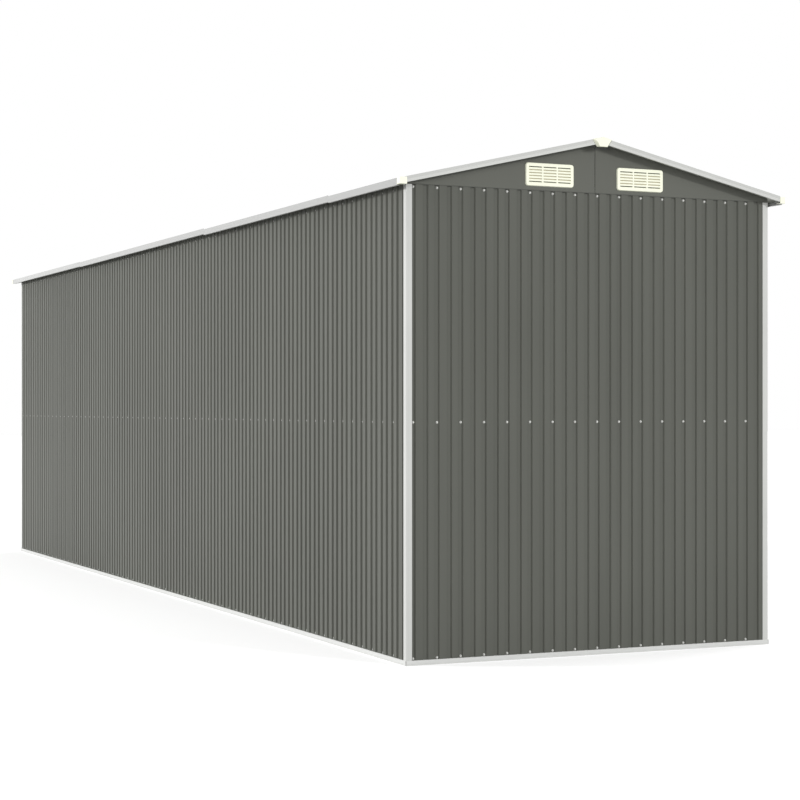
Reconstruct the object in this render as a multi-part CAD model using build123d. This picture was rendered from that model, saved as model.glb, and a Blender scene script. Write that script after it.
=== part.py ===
from build123d import *
import math
import os

# A long metal storage shed with ribbed steel walls and a low pitched roof.
# The origin is at ground level under the middle of the shed. +Z is up, +X runs across the gables and +Y runs
# along the shed. The closed gable faces -Y and is the rear; the doorway is in the gable at +Y, the front.
# Every wall is drawn in its own frame: u runs left to right as seen from outside, d runs inwards from the
# outer face of the corner posts, and z is up.

# Overall sizes, in millimetres
wall_width = 1800.0
wall_length = 6965.0
eaves_height = 2002.0
gable_end_height = 18.9
roof_pitch = 12.9
eaves_overhang = 55.0
verge_overhang = 62.0

# Ribbed wall sheet
sheet_thickness = 1.0
gable_rib_pitch = 110.0
side_rib_pitch = 111.0
first_groove = 32.4
second_groove = 58.0
groove_depth = 8.0
groove_width = 24.0
flank_run = 2.5
sheet_end_gap = 12.0
sheet_seam = 0.5
side_sheets = 3

# Flat gable sheets
gable_seam = 2.5

# Corner posts
post_leg = 27.0
post_thickness = 1.2

# Base rail
rail_proud = 2.5
rail_height = 22.0
rail_wall = 3.0
rail_skin = 1.5
rail_upstand = 30.0
rail_foot = 16.0
bead_height = 6.0
bead_depth = 1.3

# Rails behind the sheets
girt_height = 40.0
girt_depth = 20.0
mid_girt_level = 1016.0
top_girt_height = 70.0

# Roof sheets
roof_rib_pitch = 278.6
roof_rib_width = 32.0
roof_rib_height = 9.0
roof_rib_run = 4.0
roof_sheets = 2
roof_seam = 0.5
roof_edge_gap = 3.0

# Trims on the roof edges
trim_skin = 1.5
verge_height = 25.0
verge_flange = 30.0
verge_lip = 8.0
eaves_trim_height = 30.0
eaves_trim_lift = 7.5
eaves_flange = 30.0
eaves_lip = 12.0
eaves_joints = (726.0, 2490.0, 5050.0)
eaves_drops = ((6.0, 6.0), (2.2, 5.1), (0.0, 3.0), (0.0, 0.0))
trim_joint = 0.5

# Plastic caps
corner_cap_width = 32.0
corner_cap_length = 31.0
corner_cap_height = 28.0
corner_bevel = 5.0
cap_skin = 2.0
cap_proud = 1.5
ridge_cap_half = 45.0
ridge_end_top = 47.0
ridge_end_bottom = 26.0
ridge_end_drop = 43.0
ridge_end_depth = 14.0
ridge_end_draft = 8.0
ridge_gap = 0.5

# Gable vents
vent_width = 234.0
vent_height = 100.0
vent_centre = 225.0
vent_sill = 19.0
vent_thickness = 7.0
vent_draft = 2.0
vent_corner = 12.0
corner_facets = 3
vent_side_border = 15.0
vent_end_border = 16.0
vent_rows = 6
vent_columns = 3
vent_bar = 7.0
slot_height = 5.0
slot_rise = 0.4
vent_lap = 12.0

# Roof beams and frames
beam_width = 50.0
beam_height = 40.0
beam_skin = 1.5
purlin_position = 455.0
frame_depth = 34.0
frame_thickness = 30.0
frame_joint = 0.5
frame_positions = (2490.0, 5050.0)

# Doorway and sliding leaves
door_width = 850.0
door_height = 1800.0
leaf_width = 438.0
leaf_thickness = 12.0
leaf_clearance = 3.0
leaf_frame = 28.0
jamb_leg = 25.0
track_height = 45.0
track_wall = 1.5
track_gap = 0.3
sill_height = 12.0

# How far a cutting tool runs past what it cuts
cut_margin = 2.0

os.makedirs("parts", exist_ok=True)

# Sizes worked out from the ones above
slope = math.tan(math.radians(roof_pitch))
lean = 1.0 / math.cos(math.radians(roof_pitch))
roof_depth = (sheet_thickness + roof_rib_height + trim_skin) * lean
gable_edge = wall_width / 2 - post_thickness
verge_apex = eaves_height + gable_end_height + slope * gable_edge + roof_depth
ridge_height = verge_apex + cap_proud
eaves_edge = wall_width / 2 + eaves_overhang
verge_edge = wall_length / 2 + verge_overhang
sheet_outer = post_thickness
frame_face = sheet_outer + groove_depth + sheet_thickness
frame_inner = frame_face + girt_depth
leaf_face = frame_inner + track_wall + track_gap
leaf_inner = leaf_face + leaf_thickness
turns = {"rear": 0, "front": 180, "left": -90, "right": 90}
spans = {"rear": wall_width, "front": wall_width, "left": wall_length, "right": wall_length}


def roof_line(x):
    """Height of the top of the roof trims at a distance x from the middle."""
    return verge_apex - slope * abs(x)


def roof_under(x):
    """Height of the underside of the roof sheets."""
    return roof_line(x) - roof_depth


def prism(points, travel):
    """A closed polygon of 3D points, pushed along a vector."""
    return Solid.extrude(Face(Wire.make_polygon([Vector(*p) for p in points], close=True)), Vector(*travel))


def along_wall(section, start, end):
    """A (d, z) section pushed along u."""
    return prism([(start, d, z) for d, z in section], (end - start, 0, 0))


def up_wall(plan, low, high):
    """A (u, d) plan pushed up."""
    return prism([(u, d, low) for u, d in plan], (0, 0, high - low))


def across(outline, low, high):
    """An (x, z) outline pushed along y."""
    return prism([(x, low, z) for x, z in outline], (0, high - low, 0))


def block(u0, u1, d0, d1, z0, z1):
    """A plain block in a wall's frame."""
    return up_wall([(u0, d0), (u1, d0), (u1, d1), (u0, d1)], z0, z1)


def tapered(first, second):
    """A body between two rims with as many corners each, closed by flat faces."""
    rims = [[Vector(*p) for p in rim] for rim in (first, second)]
    faces = [Face(Wire.make_polygon(rim, close=True)) for rim in rims]
    for k in range(len(first)):
        quad = [rims[0][k - 1], rims[0][k], rims[1][k], rims[1][k - 1]]
        faces.append(Face(Wire.make_polygon(quad, close=True)))
    return Solid(Shell(faces))


def place(side, solid):
    """Carry a solid from a wall's frame to its place in the shed."""
    other = wall_length if side in ("rear", "front") else wall_width
    return Rot(0, 0, turns[side]) * Pos(0, -other / 2, 0) * solid


def save(name, *solids):
    """Write one node, with one or more separate solids."""
    shape = solids[0] if len(solids) == 1 else Compound(children=list(solids))
    export_step(shape, f"parts/{name}.step")


def mitre(side, solid, low, high):
    """Cut a rail's ends at 45 degrees, so that the four rails meet in the corners."""
    half = spans[side] / 2
    reach = frame_inner + rail_foot
    plan = [(-half - reach, -reach), (half + reach, -reach), (half - reach, reach), (reach - half, reach)]
    return solid & up_wall(plan, low, high)


def groove_centres(side):
    """Places of the grooves across a wall. The pattern starts from the rear corner of each long wall."""
    half = spans[side] / 2
    pitch = side_rib_pitch if side in ("left", "right") else gable_rib_pitch
    centres = []
    for k in range(-1, math.ceil(spans[side] / pitch) + 1):
        start = first_groove + k * pitch - half
        centres += [start, start + second_groove]
    return [-centre for centre in reversed(centres)] if side == "left" else centres


def sheet_face(centres, start, end, offset, widen):
    """One face of the ribbed sheet, as (u, d) points clipped to the sheet's ends."""
    top, floor = sheet_outer + offset, sheet_outer + offset + groove_depth
    half = groove_width / 2 + widen
    bends = []
    for centre in centres:
        bends += [(centre - half, top), (centre - half + flank_run, floor)]
        bends += [(centre + half - flank_run, floor), (centre + half, top)]

    def depth(u):
        for (u0, d0), (u1, d1) in zip(bends, bends[1:]):
            if u0 <= u <= u1:
                return d0 + (d1 - d0) * (u - u0) / (u1 - u0)
        return top

    inside = [bend for bend in bends if start < bend[0] < end]
    return [(start, depth(start))] + inside + [(end, depth(end))]


def ribbed_sheet(side, start, end, low, high):
    """A ribbed sheet with an even thickness through its flats, flanks and groove floors."""
    centres = groove_centres(side)
    steepness = math.atan2(groove_depth, flank_run)
    widen = sheet_thickness * math.tan(steepness / 2)
    outer = sheet_face(centres, start, end, 0.0, 0.0)
    inner = sheet_face(centres, start, end, sheet_thickness, widen)
    return up_wall(outer + inner[::-1], low, high)


def side_seams(side):
    """Ends of the sheets of a long wall. The joints fall on raised flats, midway between two grooves."""
    half = spans[side] / 2
    centres = groove_centres(side)
    flats = [(a + b) / 2 for a, b in zip(centres, centres[1:])]
    ends = [sheet_end_gap - half]
    for k in range(1, side_sheets):
        target = -half + spans[side] * k / side_sheets
        ends.append(min(flats, key=lambda flat: abs(flat - target)))
    return ends + [half - sheet_end_gap]


def base_rail(side):
    """A folded base rail with a beaded face, a ledge, an upstand behind the sheets and an inner foot."""
    front, back = -rail_proud, frame_face
    lip = front + bead_depth
    section = [
        (front, 0), (front, bead_height - bead_depth), (lip, bead_height), (front, bead_height + bead_depth),
        (front, rail_height), (back, rail_height), (back, rail_height + rail_upstand),
        (back + rail_skin, rail_height + rail_upstand), (back + rail_skin, rail_skin),
        (back + rail_foot, rail_skin), (back + rail_foot, 0), (back, 0), (back, rail_height - rail_skin),
        (front + rail_wall, rail_height - rail_skin), (front + rail_wall, 0),
    ]
    half = spans[side] / 2 + rail_proud
    rail = along_wall(section, -half, half)
    return mitre(side, rail, 0, rail_height + rail_upstand)


def girt(side, low, high, slope_top):
    """A folded channel behind the sheets. On the long walls the top one leans with the roof."""
    inner_high = high + slope * girt_depth if slope_top else high
    skin = beam_skin
    section = [
        (frame_face, low), (frame_face, high), (frame_inner, inner_high),
        (frame_inner, inner_high - skin), (frame_face + skin, high - skin),
        (frame_face + skin, low + skin), (frame_inner, low + skin), (frame_inner, low),
    ]
    half = spans[side] / 2
    return mitre(side, along_wall(section, -half, half), low, inner_high)


def corner_post(sx, sy):
    """An angle that stands on the base rails and covers the ends of the sheets."""
    x, y, t, leg = wall_width / 2, wall_length / 2, post_thickness, post_leg
    plan = [(x, y), (x - leg, y), (x - leg, y - t), (x - t, y - t), (x - t, y - leg), (x, y - leg)]
    return prism([(sx * a, sy * b, rail_height) for a, b in plan], (0, 0, eaves_height - rail_height))


def gable_sheet(hand):
    """Half of the flat gable above the ribbed wall, with the hole behind its vent."""
    outer, inner = sheet_outer - sheet_thickness, sheet_outer
    edge, seam = gable_edge, gable_seam / 2
    outline = [(seam, eaves_height), (edge, eaves_height), (edge, roof_under(edge)), (seam, roof_under(seam))]
    sheet = across([(hand * x, z) for x, z in outline], outer, inner)
    half_hole = vent_width / 2 - vent_lap
    low = eaves_height + vent_sill + vent_lap
    high = eaves_height + vent_sill + vent_height - vent_lap
    middle = hand * vent_centre
    hole = block(middle - half_hole, middle + half_hole, outer - cut_margin, inner + cut_margin, low, high)
    return sheet - hole


def rounded_outline(width, height, radius):
    """Points round a rectangle with rounded corners, about its middle."""
    points = []
    for quarter, (sx, sz) in enumerate(((1, 1), (-1, 1), (-1, -1), (1, -1))):
        x, z = sx * (width / 2 - radius), sz * (height / 2 - radius)
        for k in range(corner_facets + 1):
            angle = math.radians(90 * (quarter + k / corner_facets))
            points.append((x + radius * math.cos(angle), z + radius * math.sin(angle)))
    return points


def gable_vent(hand):
    """A moulded vent with drafted sides and slanting louvre slots in three columns."""
    face = sheet_outer - sheet_thickness
    front = face - vent_thickness
    middle, low = hand * vent_centre, eaves_height + vent_sill
    rims = []
    for y, inset in ((face, 0.0), (front, vent_draft)):
        rim = rounded_outline(vent_width - 2 * inset, vent_height - 2 * inset, vent_corner - inset)
        rims.append([(middle + x, y, low + vent_height / 2 + z) for x, z in rim])
    body = tapered(*rims)
    column = (vent_width - 2 * vent_side_border - (vent_columns - 1) * vent_bar) / vent_columns
    step = (vent_height - 2 * vent_end_border - slot_height) / (vent_rows - 1)
    y0, y1 = front - cut_margin, face + cut_margin
    rise = slot_rise * (y1 - y0)
    for c in range(vent_columns):
        u0 = middle - vent_width / 2 + vent_side_border + c * (column + vent_bar)
        u1 = u0 + column
        for r in range(vent_rows):
            z0 = low + vent_end_border + r * step - slot_rise * cut_margin
            z1 = z0 + slot_height
            body -= prism([(u0, y0, z0), (u1, y0, z0), (u1, y0, z1), (u0, y0, z1)], (0, y1 - y0, rise))
    return body


def roof_sheet(hand, start, end):
    """A ribbed roof sheet from the ridge to the eaves, between two places along the shed."""
    angle = math.radians(roof_pitch)
    down = Vector(hand * math.cos(angle), 0, -math.sin(angle))
    up = Vector(hand * math.sin(angle), 0, math.cos(angle))
    outer, inner = [(start, sheet_thickness)], [(start, 0.0)]
    count = math.floor((wall_length / 2 + verge_overhang - roof_rib_width) / roof_rib_pitch)
    rise, run, t = roof_rib_height, roof_rib_run, sheet_thickness
    half = roof_rib_width / 2
    for k in range(-count, count + 1):
        middle = k * roof_rib_pitch
        if start + half < middle < end - half:
            outer += [(middle - half, t), (middle - half + run, t + rise)]
            outer += [(middle + half - run, t + rise), (middle + half, t)]
            inner += [(middle - half + t, 0), (middle - half + run + t, rise)]
            inner += [(middle + half - run - t, rise), (middle + half - t, 0)]
    outer.append((end, t))
    inner.append((end, 0.0))
    origin = Vector(0, 0, roof_under(0)) + down * ridge_gap
    section = [origin + Vector(0, y, 0) + up * h for y, h in outer + inner[::-1]]
    length = (eaves_edge - trim_skin - roof_edge_gap) * lean
    return Solid.extrude(Face(Wire.make_polygon(section, close=True)), down * length)


def verge_trim(hand, sy):
    """A folded trim along one slope of a gable, cut on the slant beside the ridge end cap."""
    inner_end, outer_end = ridge_end_top, eaves_edge - corner_cap_width + cap_proud
    cut = (ridge_end_top - ridge_end_bottom) / ridge_end_drop
    slanted_end = inner_end - cut * verge_height / (1 - slope * cut)
    skin = trim_skin * lean

    def strip(first, last, depths):
        """A strip along the slope between two depths below its top line."""
        upper, lower = depths
        outline = [(inner_end, roof_line(inner_end) - upper), (outer_end, roof_line(outer_end) - upper),
                   (outer_end, roof_line(outer_end) - lower), (last, roof_line(last) - lower)]
        return across([(hand * x, z) for x, z in outline], -verge_edge, first - verge_edge)

    trim = strip(trim_skin, slanted_end, (0, verge_height))
    trim += strip(verge_flange, inner_end, (0, skin))
    trim += strip(verge_lip, inner_end, (verge_height - skin, verge_height))
    return trim if sy < 0 else Rot(0, 0, 180) * trim


def eaves_trim(hand, start, end, drops):
    """One length of the fascia along the eaves, with a flange on the roof and a lip underneath. Its two ends
    drop by different amounts, so that it steps down from the next length at each joint."""
    x, t = eaves_edge, trim_skin
    inside, back, lip = x - t, x - eaves_flange, x - eaves_lip
    high = roof_line(x) + eaves_trim_lift - drops[0]
    low = high - eaves_trim_height
    fascia = [(x, low), (x, high), (inside, high), (inside, low + t), (lip, low + t), (lip, low)]
    flange = [(x, roof_line(x)), (back, roof_line(back)), (back, roof_line(back) - t * lean),
              (x, roof_line(x) - t * lean)]
    face = prism([(hand * a, start, z) for a, z in fascia], (0, end - start, drops[0] - drops[1]))
    return face + across([(hand * a, z) for a, z in flange], start, end)


def corner_cap(hand, sy):
    """A plastic cap with a bevelled corner that closes the gap between the eaves trim and the verge trim."""
    x_out, x_in = eaves_edge + cap_proud, eaves_edge + cap_proud - corner_cap_width
    drop = eaves_drops[0][0] if sy < 0 else eaves_drops[-1][1]
    high = roof_line(eaves_edge) + eaves_trim_lift - drop + cap_proud
    low = high - corner_cap_height
    y_out = -verge_edge - cap_proud
    y_in = y_out + corner_cap_length
    plan = [(x_in, y_out), (x_out - corner_bevel, y_out), (x_out, y_out + corner_bevel), (x_out, y_in),
            (x_in, y_in)]
    shell = prism([(hand * x, y, low) for x, y in plan], (0, 0, high - low))
    wall, front, open_end = x_out - cap_skin, y_out + cap_skin, x_in - cut_margin
    bevel = corner_bevel - (2 - math.sqrt(2)) * cap_skin
    plan = [(open_end, front), (wall - bevel, front), (wall, front + bevel), (wall, y_in + cut_margin),
            (open_end, y_in + cut_margin)]
    cap = shell - prism([(hand * x, y, low + cap_skin) for x, y in plan], (0, 0, high - low - 2 * cap_skin))
    return cap if sy < 0 else Rot(0, 0, 180) * cap


def ridge_cap():
    """A folded capping over the ribs along the ridge."""
    x, t = ridge_cap_half, trim_skin * lean
    outline = [(-x, roof_line(x)), (0, roof_line(0)), (x, roof_line(x)),
               (x, roof_line(x) - t), (0, roof_line(0) - t), (-x, roof_line(x) - t)]
    return across(outline, -verge_edge, verge_edge)


def ridge_end_cap(sy):
    """A tapered plastic end cap at the top of a gable, with drafted flanks."""
    low = ridge_height - ridge_end_drop
    shoulder = roof_line(ridge_end_top) + cap_proud
    rims = []
    for y, inset in ((-verge_edge, 0.0), (-verge_edge - ridge_end_depth, ridge_end_draft)):
        top, bottom = ridge_end_top - inset, ridge_end_bottom - inset
        peak = (0, ridge_height - slope * inset)
        outline = [(-bottom, low), (bottom, low), (top, shoulder), peak, (-top, shoulder)]
        rims.append([(x, y, z) for x, z in outline])
    cap = tapered(*rims)
    return cap if sy < 0 else Rot(0, 0, 180) * cap


def roof_beam(middle):
    """A folded beam under the roof sheets, open below, with its top at the slope of the roof."""
    half, skin = beam_width / 2, beam_skin
    low = roof_under(middle) - beam_height
    left, right = middle - half, middle + half
    tops = [(left, roof_under(left)), (right, roof_under(right))]
    inner = [(right - skin, roof_under(right - skin) - skin), (left + skin, roof_under(left + skin) - skin)]
    if left < 0 < right:
        tops.insert(1, (0, roof_under(0)))
        inner.insert(1, (0, roof_under(0) - skin))
    outline = tops + [(right, low), (right - skin, low)] + inner + [(left + skin, low), (left, low)]
    reach = wall_length / 2 - frame_inner
    return across(outline, -reach, reach)


def half_frame(hand, position):
    """One half of a shallow frame from wall to wall under the beams, from the ridge to the eaves."""
    reach = wall_width / 2 - frame_inner
    outline = []
    for x in (frame_joint / 2, reach):
        outline.append((x, roof_under(x) - beam_height - slope * beam_width / 2))
    outline += [(x, z - frame_depth) for x, z in outline[::-1]]
    y = position - wall_length / 2
    return across([(hand * x, z) for x, z in outline], y - frame_thickness / 2, y + frame_thickness / 2)


def door_jamb(hand):
    """An angle that edges the doorway and covers the end of the sheet beside it."""
    edge = door_width / 2
    skin = edge + post_thickness
    plan = [(edge, 0), (edge + jamb_leg, 0), (edge + jamb_leg, sheet_outer), (skin, sheet_outer),
            (skin, frame_face), (edge, frame_face)]
    return up_wall([(hand * u, d) for u, d in plan], rail_height, door_height)


def door_track():
    """An inverted channel across the front that the leaves hang in."""
    reach = wall_width / 2 - frame_inner
    front, back = leaf_face - track_gap - track_wall, leaf_inner + track_gap + track_wall
    low, high = door_height, door_height + track_height
    section = [(front, low), (front, high), (back, high), (back, low), (back - track_wall, low),
               (back - track_wall, high - track_wall), (front + track_wall, high - track_wall),
               (front + track_wall, low)]
    return along_wall(section, -reach, reach)


def door_leaf(hand):
    """A sliding leaf, parked open beside the doorway: a thin panel in a frame with a mid rail."""
    outer = wall_width / 2 - frame_inner - leaf_clearance
    u0, u1 = sorted((hand * (outer - leaf_width), hand * outer))
    foot, top = track_wall, door_height + track_height / 2
    below, above = mid_girt_level - leaf_frame / 2, mid_girt_level + leaf_frame / 2
    skin = leaf_face + sheet_thickness
    leaf = block(u0, u1, leaf_face, leaf_inner, foot, top)
    for low, high in ((foot + leaf_frame, below), (above, top - leaf_frame)):
        leaf -= block(u0 + leaf_frame, u1 - leaf_frame, skin, leaf_inner + cut_margin, low, high)
    return leaf


def door_sill():
    """A low channel on the ground that guides the feet of the leaves, joined to the base rail's foot."""
    reach = wall_width / 2 - frame_inner
    front, back = leaf_face - track_gap, leaf_inner + track_gap
    t, high = track_wall, sill_height
    section = [(frame_face + rail_foot, 0), (frame_face + rail_foot, t), (front - t, t), (front - t, high),
               (front, high), (front, t), (back, t), (back, high), (back + t, high), (back + t, 0)]
    return along_wall(section, -reach, reach)


def build_walls():
    for side in turns:
        save(f"base_rail_{side}", place(side, base_rail(side)))
        if side in ("left", "right"):
            top = roof_under(wall_width / 2 - frame_face)
            ends = side_seams(side)
            for k, (a, b) in enumerate(zip(ends, ends[1:])):
                a += sheet_seam / 2 if k else 0
                b -= sheet_seam / 2 if k < side_sheets - 1 else 0
                high = roof_under(wall_width / 2 - sheet_outer) - sheet_thickness
                save(f"wall_{side}_{k + 1}", place(side, ribbed_sheet(side, a, b, rail_height, high)))
        else:
            top = roof_under(wall_width / 2 - frame_face) - girt_depth / 2
        mid = girt(side, mid_girt_level - girt_height / 2, mid_girt_level + girt_height / 2, False)
        head = girt(side, top - top_girt_height, top, side in ("left", "right"))
        if side == "front":
            gap = block(-door_width / 2, door_width / 2, 0, 2 * frame_inner, 0, door_height)
            mid = [place(side, solid) for solid in (mid - gap).solids()]
            header = girt(side, door_height, door_height + track_height, False)
            save("rails_front", *mid, place(side, header), place(side, head))
        else:
            save(f"rails_{side}", place(side, mid), place(side, head))
    ends = (sheet_end_gap - wall_width / 2, wall_width / 2 - sheet_end_gap)
    high = roof_under(ends[1]) - sheet_thickness
    save("wall_rear", place("rear", ribbed_sheet("rear", *ends, rail_height, high)))
    edge = door_width / 2 + post_thickness
    over = edge - sheet_seam
    save("wall_front_left", place("front", ribbed_sheet("front", ends[0], -edge, rail_height, high)))
    save("wall_front_right", place("front", ribbed_sheet("front", edge, ends[1], rail_height, high)))
    save("wall_over_door", place("front", ribbed_sheet("front", -over, over, door_height, high)))
    for sy, end in ((-1, "rear"), (1, "front")):
        for sx, hand in ((-1, "left"), (1, "right")):
            save(f"corner_post_{end}_{hand}", corner_post(sx, sy))


def build_gables():
    for side in ("rear", "front"):
        for hand, name in ((-1, "a"), (1, "b")):
            save(f"gable_{side}_{name}", place(side, gable_sheet(hand)))
        save(f"vents_{side}", *[place(side, gable_vent(hand)) for hand in (-1, 1)])


def build_roof():
    for hand, name in ((-1, "left"), (1, "right")):
        length = 2 * (verge_edge - trim_skin) / roof_sheets
        for k in range(roof_sheets):
            start = -verge_edge + trim_skin + k * length
            lap = roof_seam if k else 0
            save(f"roof_{name}_{k + 1}", roof_sheet(hand, start + lap, start + length))
        for sy, end in ((-1, "rear"), (1, "front")):
            save(f"verge_trim_{end}_{name}", verge_trim(hand * -sy, sy))
        reach = verge_edge + cap_proud - corner_cap_length
        places = [-reach] + [joint - wall_length / 2 for joint in eaves_joints] + [reach]
        lengths = []
        for a, b, drops in zip(places, places[1:], eaves_drops):
            lengths.append(eaves_trim(hand, a + trim_joint / 2, b - trim_joint / 2, drops))
        save(f"eaves_trim_{name}", *lengths)
    save("ridge_cap", ridge_cap())
    save("ridge_end_cap_rear", ridge_end_cap(-1))
    save("ridge_end_cap_front", ridge_end_cap(1))
    save("corner_caps", *[corner_cap(hand, sy) for hand in (-1, 1) for sy in (-1, 1)])
    save("roof_beams", *[roof_beam(x) for x in (-purlin_position, 0.0, purlin_position)])
    save("roof_frames", *[half_frame(hand, position) for hand in (-1, 1) for position in frame_positions])


def build_door():
    save("door_jambs", *[place("front", door_jamb(hand)) for hand in (-1, 1)])
    save("door_track", place("front", door_track()))
    save("door_sill", place("front", door_sill()))
    save("door_leaf_left", place("front", door_leaf(-1)))
    save("door_leaf_right", place("front", door_leaf(1)))


build_walls()
build_gables()
build_roof()
build_door()
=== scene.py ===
import bpy
import math
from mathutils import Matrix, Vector


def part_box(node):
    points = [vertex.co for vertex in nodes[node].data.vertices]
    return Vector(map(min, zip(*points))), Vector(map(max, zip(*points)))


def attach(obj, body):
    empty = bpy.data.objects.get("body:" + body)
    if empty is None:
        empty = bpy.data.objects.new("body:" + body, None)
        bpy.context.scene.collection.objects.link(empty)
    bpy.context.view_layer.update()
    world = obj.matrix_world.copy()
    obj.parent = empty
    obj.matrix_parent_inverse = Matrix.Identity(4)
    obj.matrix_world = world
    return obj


# Looks of a long metal storage shed, in metres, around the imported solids.
# The photographed gable faces -Y and the photographed long wall faces -X. The doorway is in the gable at +Y.
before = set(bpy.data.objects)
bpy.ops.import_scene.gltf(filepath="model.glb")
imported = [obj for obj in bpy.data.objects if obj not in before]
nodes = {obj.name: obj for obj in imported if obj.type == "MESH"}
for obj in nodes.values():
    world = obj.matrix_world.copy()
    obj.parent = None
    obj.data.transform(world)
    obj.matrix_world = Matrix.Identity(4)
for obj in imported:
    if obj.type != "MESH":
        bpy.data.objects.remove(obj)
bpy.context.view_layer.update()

# Places read from the solids
sheet_thickness = 0.001
post_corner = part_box("corner_post_rear_left")[0]
half_width = -post_corner.x
half_length = -post_corner.y
groove_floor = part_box("wall_rear")[1].y + half_length - sheet_thickness
verge_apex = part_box("ridge_cap")[1].z
door_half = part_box("door_jambs")[1].x
door_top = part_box("door_jambs")[1].z
vent_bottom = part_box("vents_rear")[0].z
vent_face = -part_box("vents_rear")[0].y
vent_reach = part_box("vents_rear")[1].x
base_half_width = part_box("base_rail_rear")[1].x
base_half_length = -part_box("base_rail_rear")[0].y

# Lines of painted shade: the fold at the verge's mid height and the lap under the gable sheets
roof_pitch_degrees = 12.9
roof_slope = math.tan(math.radians(roof_pitch_degrees))
verge_height = 0.025
fold_start = verge_apex - 0.56 * verge_height
fold_end = verge_apex - 0.50 * verge_height
joint_height = 2.002
lap_line_top = joint_height + 0.0025
lap_paint_start = joint_height + 0.0045

# Screws: their pitch, the first one's distance from the corner, and the heights of the rows
gable_pitch = 0.110
side_pitch = 0.1112
gable_first = 0.0358
side_first = 0.030
gable_rows = (0.0285, 1.012, 1.993)
side_rows = (0.0285, 1.012, 1.988)

# One screw: a washer with an upright rim and a sloping top, under a round head with a bevel
screw_sides = 12
washer_radius = 0.0056
washer_height = 0.0012
washer_rim_share = 0.5
washer_top_share = 0.85
head_radius = 0.0041
head_height = 0.0043
head_edge_share = 0.85
head_top_share = 0.8

# The vents' slots: their columns and rows, and how far they climb for each unit of depth
vent_width = 0.234
vent_bar = 0.007
slot_columns = 3
slot_rows = 6
slot_side = 0.015
slot_foot = 0.016
slot_step = 0.0126
slot_height = 0.005
slot_rise = 0.4
slot_length = (vent_width - 2 * slot_side - (slot_columns - 1) * vent_bar) / slot_columns

# Louvre blades in the middle rows of slots: how deep their edges lie behind the vent's face, and their skin
blade_front = 0.002
blade_back = 0.006
blade_skin = 0.0008

# Open mitres of the base rail, drawn as dark strips of painted shade
mitre_gap = 0.0013
mitre_proud = 0.0002
mitre_foot = 0.001
mitre_height = 0.021

# Colours, linear
grey_paint = (0.097, 0.100, 0.086)
wall_paint_grey = (0.108, 0.111, 0.098)
roof_paint = (0.095, 0.098, 0.085)
pale_paint = (0.550, 0.556, 0.536)
# The eaves trim's outer face, painted darker as shade
eaves_shaded_paint = (0.390, 0.393, 0.386)
cream = (0.900, 0.910, 0.750)
# The louvre blades' cream, painted darker as shade inside the slots
blade_cream_shaded = (0.520, 0.490, 0.360)
zinc = (0.520, 0.530, 0.540)
base_paint = (0.630, 0.635, 0.620)
mitre_shade = (0.020, 0.020, 0.019)
screw_metal = (0.600, 0.600, 0.578)

# Factors on the colours
# Painted light that makes the flanks of the grooves paler
flank_light_factor = 1.5
underside_factor = 3.6
# Painted shadow along the lap of the gable sheets
lap_shadow_factor = 0.62
# Painted light and shade on the verge's two strips, standing for a fold at mid height
verge_lower_light_factor = 1.04
verge_upper_shade_factor = 0.93
# Painted light that makes the eaves trim paler towards the doorway
eaves_far_light_factor = 1.25

# Roughness, gloss and the usual range of the noise
sheet_roughness = 0.42
trim_roughness = 0.38
mitre_roughness = 0.8
wall_specular = 0.13
noise_range = (0.3, 0.7)

# Floor and world
floor_reach = 60.0
floor_colour = 0.80
floor_bounce = 0.60
floor_lift = 0.50
world_light = 0.38
world_white = 1.0

# Lamps: name, direction from the shed, strength, width in degrees, and whether glossy surfaces mirror it
lamps = (
    ("lamp_left", (-0.88, 0.42, 0.18), 2.65, 8.0, False),
    ("lamp_front", (0.45, -0.87, 0.20), 1.70, 7.0, False),
    ("lamp_fill", (-0.65, -0.75, 0.05), 0.90, 14.0, False),
    ("lamp_right", (0.90, 0.35, 0.30), 1.60, 30.0, True),
    ("lamp_top", (0.0, 0.0, 1.0), 0.60, 60.0, True),
)

# Camera
camera_place = Vector((-4.172, -10.6985, 1.0746))
camera_forward = Vector((0.410, 0.912, 0.0))
focal_pixels = 1910.0
picture_pixels = 800.0
horizon_pixel = 407.3
sensor_mm = 36.0
sight_limit = 200.0


def new_material(name, colour, metallic, roughness):
    """A material with a Principled shader whose plain numbers sit on its own sockets."""
    material = bpy.data.materials.new(name)
    material.use_nodes = True
    shader = material.node_tree.nodes["Principled BSDF"]
    shader.inputs["Base Color"].default_value = (*colour, 1.0)
    shader.inputs["Metallic"].default_value = metallic
    shader.inputs["Roughness"].default_value = roughness
    return material, material.node_tree, shader


def noise(tree, scale, detail, stretch=(1.0, 1.0, 1.0)):
    """Noise in object space, stretched along the axes."""
    place = tree.nodes.new("ShaderNodeTexCoord")
    mapping = tree.nodes.new("ShaderNodeMapping")
    mapping.inputs["Scale"].default_value = stretch
    texture = tree.nodes.new("ShaderNodeTexNoise")
    texture.inputs["Scale"].default_value = scale
    texture.inputs["Detail"].default_value = detail
    tree.links.new(place.outputs["Object"], mapping.inputs["Vector"])
    tree.links.new(mapping.outputs["Vector"], texture.inputs["Vector"])
    return texture.outputs["Fac"]


def remap(tree, value, source, target):
    """Map one range of a value to another."""
    node = tree.nodes.new("ShaderNodeMapRange")
    node.inputs["From Min"].default_value = source[0]
    node.inputs["From Max"].default_value = source[1]
    node.inputs["To Min"].default_value = target[0]
    node.inputs["To Max"].default_value = target[1]
    tree.links.new(value, node.inputs["Value"])
    return node.outputs["Result"]


def mottle(tree, scale, detail, amount, stretch=(1.0, 1.0, 1.0)):
    """A factor that wanders around one by an amount, in clouds or streaks."""
    return remap(tree, noise(tree, scale, detail, stretch), noise_range, (1.0 - amount, 1.0 + amount))


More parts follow.
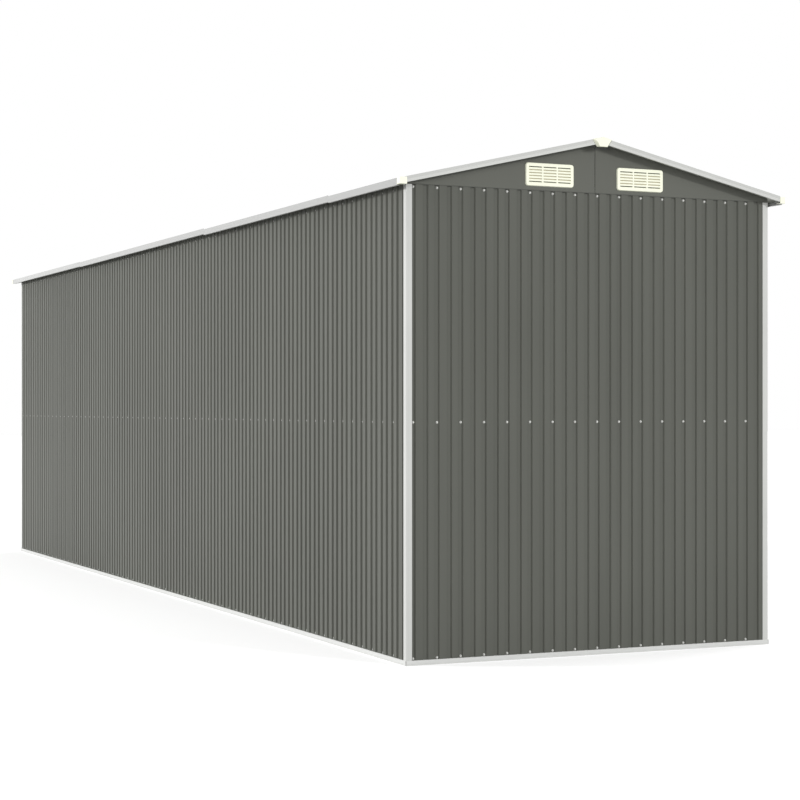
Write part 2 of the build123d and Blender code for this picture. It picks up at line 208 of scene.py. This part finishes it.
def combine(tree, operation, a, b=0.0):
    """A math node on two values, either of which may be a number."""
    node = tree.nodes.new("ShaderNodeMath")
    node.operation = operation
    for socket, value in zip(node.inputs, (a, b)):
        if isinstance(value, (int, float)):
            socket.default_value = value
        else:
            tree.links.new(value, socket)
    return node.outputs["Value"]


def tint(tree, shader, colour, factor, *more_factors):
    """Give a shader a colour times one or more varying factors."""
    for other in more_factors:
        factor = combine(tree, "MULTIPLY", factor, other)
    node = tree.nodes.new("ShaderNodeVectorMath")
    node.operation = "SCALE"
    node.inputs[0].default_value = colour
    tree.links.new(factor, node.inputs["Scale"])
    tree.links.new(node.outputs["Vector"], shader.inputs["Base Color"])


def bump(tree, shader, height, distance, strength):
    """A fine bump on a shader."""
    node = tree.nodes.new("ShaderNodeBump")
    node.inputs["Distance"].default_value = distance
    node.inputs["Strength"].default_value = strength
    tree.links.new(height, node.inputs["Height"])
    tree.links.new(node.outputs["Normal"], shader.inputs["Normal"])


def orange_peel(tree, shader):
    """The fine orange peel of painted sheet."""
    bump(tree, shader, noise(tree, scale=700.0, detail=2.0), distance=0.0002, strength=0.15)


def split(tree, vector):
    """The three components of a vector, by the names X, Y and Z."""
    parts = tree.nodes.new("ShaderNodeSeparateXYZ")
    tree.links.new(vector, parts.inputs["Vector"])
    return parts.outputs


def place_axes(tree):
    """The three components of a point's place on the shed."""
    return split(tree, tree.nodes.new("ShaderNodeTexCoord").outputs["Object"])


def normal_axes(tree):
    """The three components of the surface normal."""
    return split(tree, tree.nodes.new("ShaderNodeNewGeometry").outputs["Normal"])


def sheet_clouds(tree):
    """The faint clouds of a painted sheet."""
    return mottle(tree, scale=2.2, detail=3.0, amount=0.03)


def trim_clouds(tree):
    """The fainter clouds of a painted trim."""
    return mottle(tree, scale=2.2, detail=3.0, amount=0.02)


def painted_wall():
    """Painted ribbed steel: even paint, faint long streaks, and painted light on the flanks in the grooves.
    """
    material, tree, shader = new_material("painted_wall", wall_paint_grey, 0.0, sheet_roughness)
    streaks = mottle(tree, scale=9.0, detail=3.0, amount=0.05, stretch=(1.0, 1.0, 0.05))
    clouds = mottle(tree, scale=0.9, detail=2.0, amount=0.04)
    normal = normal_axes(tree)
    facing_x = combine(tree, "ABSOLUTE", normal["X"])
    facing_y = combine(tree, "ABSOLUTE", normal["Y"])
    facing = combine(tree, "MAXIMUM", facing_x, facing_y)
    slanting, square = 0.96, 0.995
    # Painted light: the slanting flanks of the grooves are painted paler
    painted_flank_light = remap(tree, facing, (slanting, square), (flank_light_factor, 1.0))
    tint(tree, shader, wall_paint_grey, streaks, clouds, painted_flank_light)
    shader.inputs["Specular IOR Level"].default_value = wall_specular
    orange_peel(tree, shader)
    return material


def painted_flat(name, colour, roughness):
    """Painted flat steel with faint clouds and a fine orange peel."""
    material, tree, shader = new_material(name, colour, 0.0, roughness)
    tint(tree, shader, colour, sheet_clouds(tree))
    orange_peel(tree, shader)
    return material


def painted_roof():
    """Painted ribbed roof sheet, with the paler back coat of such sheets on its underside."""
    material, tree, shader = new_material("roof_finish", roof_paint, 0.0, sheet_roughness)
    looking_down, upright = -0.5, -0.1
    back = remap(tree, normal_axes(tree)["Z"], (looking_down, upright), (underside_factor, 1.0))
    tint(tree, shader, roof_paint, sheet_clouds(tree), back)
    orange_peel(tree, shader)
    return material


def painted_gable():
    """Painted flat gable sheet, with a painted shadow line where its lower edge laps over the ribbed sheet.
    """
    material, tree, shader = new_material("gable_paint", grey_paint, 0.0, sheet_roughness)
    # Painted shadow: the gable sheet is darker just above its lower edge, where it laps over the ribbed
    # sheet
    painted_lap_shadow = remap(tree, place_axes(tree)["Z"], (lap_line_top, lap_paint_start), (lap_shadow_factor, 1.0))
    tint(tree, shader, grey_paint, sheet_clouds(tree), painted_lap_shadow)
    orange_peel(tree, shader)
    return material


def painted_verge():
    """Painted verge trim. Painted shade draws its fold, the upper strip a little darker than the lower."""
    material, tree, shader = new_material("verge_paint_and_shade", pale_paint, 0.0, trim_roughness)
    place = place_axes(tree)
    fall = combine(tree, "MULTIPLY", combine(tree, "ABSOLUTE", place["X"]), roof_slope)
    level = combine(tree, "ADD", place["Z"], fall)
    # Painted shade: the upper strip is darker and the lower one paler, as if the trim were folded
    painted_fold_shade = remap(tree, level, (fold_start, fold_end), (verge_lower_light_factor, verge_upper_shade_factor))
    tint(tree, shader, pale_paint, trim_clouds(tree), painted_fold_shade)
    return material


def painted_eaves():
    """Painted eaves trim: painted light pales it towards the doorway, painted shade dulls its outer face."""
    material, tree, shader = new_material("eaves_paint_and_shade", eaves_shaded_paint, 0.0, trim_roughness)
    place = place_axes(tree)
    # Painted light: paler towards the doorway
    along = remap(tree, place["Y"], (-half_length, half_length), (1.0, eaves_far_light_factor))
    outward = combine(tree, "MULTIPLY", normal_axes(tree)["X"], place["X"])
    surely_outward = 0.5
    inner_factor = pale_paint[0] / eaves_shaded_paint[0]
    # Painted shade: the outer face is darker, and the inner faces take the plain pale paint
    painted_outer_shade = remap(tree, outward, (0.0, surely_outward), (inner_factor, 1.0))
    tint(tree, shader, eaves_shaded_paint, trim_clouds(tree), along, painted_outer_shade)
    return material


def moulded_plastic(name, colour):
    """Cream plastic with a fine moulded grain."""
    material, tree, shader = new_material(name, colour, 0.0, trim_roughness)
    tint(tree, shader, colour, mottle(tree, scale=14.0, detail=2.0, amount=0.02))
    bump(tree, shader, noise(tree, scale=900.0, detail=1.0), distance=0.0001, strength=0.2)
    return material


def galvanized():
    """Zinc with its spangle of crystals."""
    material, tree, shader = new_material("galvanized", zinc, metallic=0.85, roughness=0.45)
    place = tree.nodes.new("ShaderNodeTexCoord")
    crystals = tree.nodes.new("ShaderNodeTexVoronoi")
    crystals.inputs["Scale"].default_value = 60.0
    tree.links.new(place.outputs["Object"], crystals.inputs["Vector"])
    crystal = split(tree, crystals.outputs["Color"])
    dark, bright = 0.90, 1.08
    tint(tree, shader, zinc, remap(tree, crystal["X"], (0.0, 1.0), (dark, bright)))
    smooth, rough = 0.38, 0.52
    tree.links.new(remap(tree, crystal["Y"], (0.0, 1.0), (smooth, rough)), shader.inputs["Roughness"])
    return material


def screw_finish():
    """Zinc plated screw heads with a faint grain."""
    material, tree, shader = new_material("screw_finish", screw_metal, metallic=0.3, roughness=0.4)
    tint(tree, shader, screw_metal, mottle(tree, scale=1200.0, detail=2.0, amount=0.07))
    return material


def dress(name, material):
    """Give a node of the solids its material."""
    mesh = nodes[name].data
    mesh.materials.clear()
    mesh.materials.append(material)


def add_mesh(name, vertices, faces, material, slot):
    """A new piece that rides on the shed."""
    mesh = bpy.data.meshes.new(name)
    mesh.from_pydata(vertices, [], faces)
    mesh.update()
    piece = bpy.data.objects.new(name, mesh)
    bpy.context.scene.collection.objects.link(piece)
    mesh.materials.append(material)
    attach(piece, "root")


def screw_rings():
    """One screw from the sheet outwards, as rings of a radius and a height."""
    return [
        (washer_radius, 0.0),
        (washer_radius, washer_height * washer_rim_share),
        (washer_radius * washer_top_share, washer_height),
        (head_radius, washer_height),
        (head_radius, head_height * head_edge_share),
        (head_radius * head_top_share, head_height),
    ]


def screw_mesh(places):
    """Many screws as one mesh. Each place is a centre on the sheet and the direction of the head."""
    rings = screw_rings()
    sides = screw_sides
    vertices, faces = [], []
    for centre, outward in places:
        across = Vector((0, 0, 1)).cross(outward).normalized()
        up = outward.cross(across)
        first = len(vertices)
        for radius, height in rings:
            for k in range(sides):
                angle = 2 * math.pi * k / sides
                spread = radius * (across * math.cos(angle) + up * math.sin(angle))
                vertices.append(centre + spread + outward * height)
        for r in range(len(rings) - 1):
            for k in range(sides):
                a, b = first + r * sides + k, first + r * sides + (k + 1) % sides
                faces.append((a, b, b + sides, a + sides))
        top = first + (len(rings) - 1) * sides
        faces.append(tuple(range(top, top + sides)))
        faces.append(tuple(range(first + sides - 1, first - 1, -1)))
    return vertices, faces


def wall_places(side):
    """Screw places on a wall, in rows at the base rail, the mid rail and the top rail."""
    gable = side in ("rear", "front")
    if gable:
        span, other = half_width, half_length
        first, pitch, rows = gable_first, gable_pitch, gable_rows
    else:
        span, other = half_length, half_width
        first, pitch, rows = side_first, side_pitch, side_rows
    sign = -1 if side in ("rear", "left") else 1
    out = sign * (other - groove_floor)
    places = []
    for z in rows:
        for k in range(math.floor((2 * span - first) / pitch) + 1):
            along = first + k * pitch - span
            if not gable:
                places.append((Vector((out, along, z)), Vector((sign, 0, 0))))
            elif side == "rear" or abs(along) > door_half or z > door_top:
                places.append((Vector((-sign * along, out, z)), Vector((0, sign, 0))))
    return places


def prism_mesh(prisms):
    """Many straight bodies as one mesh. Each is a section's corners and the vector to its other end."""
    vertices, faces = [], []
    for section, along in prisms:
        first, corners = len(vertices), len(section)
        vertices += section + [corner + along for corner in section]
        faces.append(tuple(range(first, first + corners)))
        faces.append(tuple(range(first + 2 * corners - 1, first + corners - 1, -1)))
        for k in range(corners):
            a, b = first + k, first + (k + 1) % corners
            faces.append((a, a + corners, b + corners, b))
    return vertices, faces


def blade_prisms(sign):
    """Slanting blades that close the middle rows of slots in the two vents of a gable."""
    profile = (
        (blade_front, 0.0),
        (blade_front, blade_skin),
        (blade_back, slot_height),
        (blade_back, slot_height - blade_skin),
    )
    prisms = []
    for start in (-vent_reach, vent_reach - vent_width):
        for column in range(slot_columns):
            x = start + slot_side + column * (slot_length + vent_bar)
            for row in range(1, slot_rows - 1):
                foot = vent_bottom + slot_foot + row * slot_step
                section = [
                    Vector((x, sign * (vent_face - depth), foot + slot_rise * depth + level))
                    for depth, level in profile
                ]
                prisms.append((section, Vector((slot_length, 0, 0))))
    return prisms


def mitre_prisms():
    """A dark strip of painted shade in the open mitre at each corner of the base rail."""
    square = (
        (-mitre_gap, -mitre_gap),
        (mitre_proud, -mitre_gap),
        (mitre_proud, mitre_proud),
        (-mitre_gap, mitre_proud),
    )
    prisms = []
    for sx in (-1, 1):
        for sy in (-1, 1):
            section = [
                Vector((sx * (base_half_width + u), sy * (base_half_length + v), mitre_foot))
                for u, v in square
            ]
            prisms.append((section, Vector((0, 0, mitre_height - mitre_foot))))
    return prisms


def show_by_ray(tree, rays, lighting, shown, output_kind):
    """Let the named kinds of rays see one shader, and light the scene with the other."""
    paths = tree.nodes.new("ShaderNodeLightPath")
    seen = paths.outputs[rays[0]]
    for ray in rays[1:]:
        seen = combine(tree, "MAXIMUM", seen, paths.outputs[ray])
    mix = tree.nodes.new("ShaderNodeMixShader")
    output = tree.nodes.new(output_kind)
    tree.links.new(seen, mix.inputs["Fac"])
    tree.links.new(lighting, mix.inputs[1])
    tree.links.new(shown, mix.inputs[2])
    tree.links.new(mix.outputs["Shader"], output.inputs["Surface"])


def dull_grey(tree, shade):
    """A diffuse shader of an even grey."""
    node = tree.nodes.new("ShaderNodeBsdfDiffuse")
    node.inputs["Color"].default_value = (shade, shade, shade, 1.0)
    return node.outputs["BSDF"]


def white_background(tree, strength):
    """A white world of some strength."""
    node = tree.nodes.new("ShaderNodeBackground")
    node.inputs["Color"].default_value = (1.0, 1.0, 1.0, 1.0)
    node.inputs["Strength"].default_value = strength
    return node.outputs["Background"]


def add_floor():
    """A plain floor, white where the camera or a gloss sees it, and duller where it lights the shed."""
    far = floor_reach
    corners = [(-far, -far, 0), (far, -far, 0), (far, far, 0), (-far, far, 0)]
    mesh = bpy.data.meshes.new("floor")
    mesh.from_pydata(corners, [], [(0, 1, 2, 3)])
    floor = bpy.data.objects.new("floor", mesh)
    bpy.context.scene.collection.objects.link(floor)
    material = bpy.data.materials.new("floor_paint")
    material.use_nodes = True
    tree = material.node_tree
    tree.nodes.clear()
    lift = tree.nodes.new("ShaderNodeEmission")
    lift.inputs["Strength"].default_value = floor_lift
    lifted = tree.nodes.new("ShaderNodeAddShader")
    tree.links.new(dull_grey(tree, floor_colour), lifted.inputs[0])
    tree.links.new(lift.outputs["Emission"], lifted.inputs[1])
    rays = ("Is Camera Ray", "Is Glossy Ray")
    bounce = dull_grey(tree, floor_bounce)
    show_by_ray(tree, rays, bounce, lifted.outputs["Shader"], "ShaderNodeOutputMaterial")
    mesh.materials.append(material)


def add_world():
    """A plain world: white where the camera or a gloss sees it, softer where it lights."""
    world = bpy.data.worlds.new("studio")
    bpy.context.scene.world = world
    world.use_nodes = True
    tree = world.node_tree
    tree.nodes.clear()
    rays = ("Is Camera Ray", "Is Glossy Ray", "Is Transmission Ray")
    light = white_background(tree, world_light)
    white = white_background(tree, world_white)
    show_by_ray(tree, rays, light, white, "ShaderNodeOutputWorld")


def add_lamp(name, direction, strength, width_degrees, mirrored):
    """A lamp far away in a direction from the shed. Its width in degrees makes the shadows soft."""
    light = bpy.data.lights.new(name, "SUN")
    light.energy = strength
    light.angle = math.radians(width_degrees)
    lamp = bpy.data.objects.new(name, light)
    lamp.rotation_euler = Vector(direction).to_track_quat("Z", "Y").to_euler()
    lamp.visible_glossy = mirrored
    bpy.context.scene.collection.objects.link(lamp)


def add_camera():
    """The photograph's view: level, with the horizon a little below the middle."""
    data = bpy.data.cameras.new("camera")
    data.sensor_width = sensor_mm
    data.lens = focal_pixels / picture_pixels * sensor_mm
    data.shift_y = (horizon_pixel - picture_pixels / 2) / picture_pixels
    data.clip_end = sight_limit
    camera = bpy.data.objects.new("camera", data)
    camera.location = camera_place
    camera.rotation_euler = camera_forward.to_track_quat("-Z", "Y").to_euler()
    bpy.context.scene.collection.objects.link(camera)
    bpy.context.scene.camera = camera


# Materials
wall_paint = painted_wall()
gable_paint = painted_gable()
leaf_paint = painted_flat("leaf_paint", grey_paint, sheet_roughness)
roof_finish = painted_roof()
pale_finish = painted_flat("pale_finish", pale_paint, trim_roughness)
verge_paint_and_shade = painted_verge()
eaves_paint_and_shade = painted_eaves()
plastic = moulded_plastic("moulded_plastic", cream)
# Plastic for the louvre blades, its cream painted darker as shade
shaded_blade_plastic = moulded_plastic("shaded_blade_plastic", blade_cream_shaded)
zinc_finish = galvanized()
base_finish = painted_flat("base_finish", base_paint, trim_roughness)
painted_mitre_shade = new_material("painted_mitre_shade", mitre_shade, 0.0, mitre_roughness)[0]
screws = screw_finish()

# Materials of the nodes, by the start of their names. The posts, the ridge cap and the jambs are pale.
finishes = {
    "wall_": wall_paint,
    "gable_": gable_paint,
    "door_leaf": leaf_paint,
    "verge_trim": verge_paint_and_shade,
    "roof_left": roof_finish,
    "roof_right": roof_finish,
    "eaves_trim": eaves_paint_and_shade,
    "vents_": plastic,
    "corner_caps": plastic,
    "ridge_end_cap": plastic,
    "base_rail": base_finish,
    "rails_": zinc_finish,
    "roof_beams": zinc_finish,
    "roof_frames": zinc_finish,
    "door_track": zinc_finish,
    "door_sill": zinc_finish,
}
for name in nodes:
    matching = [finish for start, finish in finishes.items() if name.startswith(start)]
    dress(name, matching[0] if matching else pale_finish)

# Small pieces
for side in ("rear", "front", "left", "right"):
    add_mesh(f"screws_{side}", *screw_mesh(wall_places(side)), screws, "zinc_frame")
add_mesh("vent_blades_rear", *prism_mesh(blade_prisms(-1)), shaded_blade_plastic, "cream_plastic")
add_mesh("vent_blades_front", *prism_mesh(blade_prisms(1)), shaded_blade_plastic, "cream_plastic")
# Dark strips of painted shade in the open mitres of the base rail
add_mesh("base_mitre_shade", *prism_mesh(mitre_prisms()), painted_mitre_shade, "grey_sheet")

# Floor, light and camera
add_floor()
add_world()
for lamp in lamps:
    add_lamp(*lamp)
add_camera()

bpy.context.scene.view_settings.view_transform = "Standard"
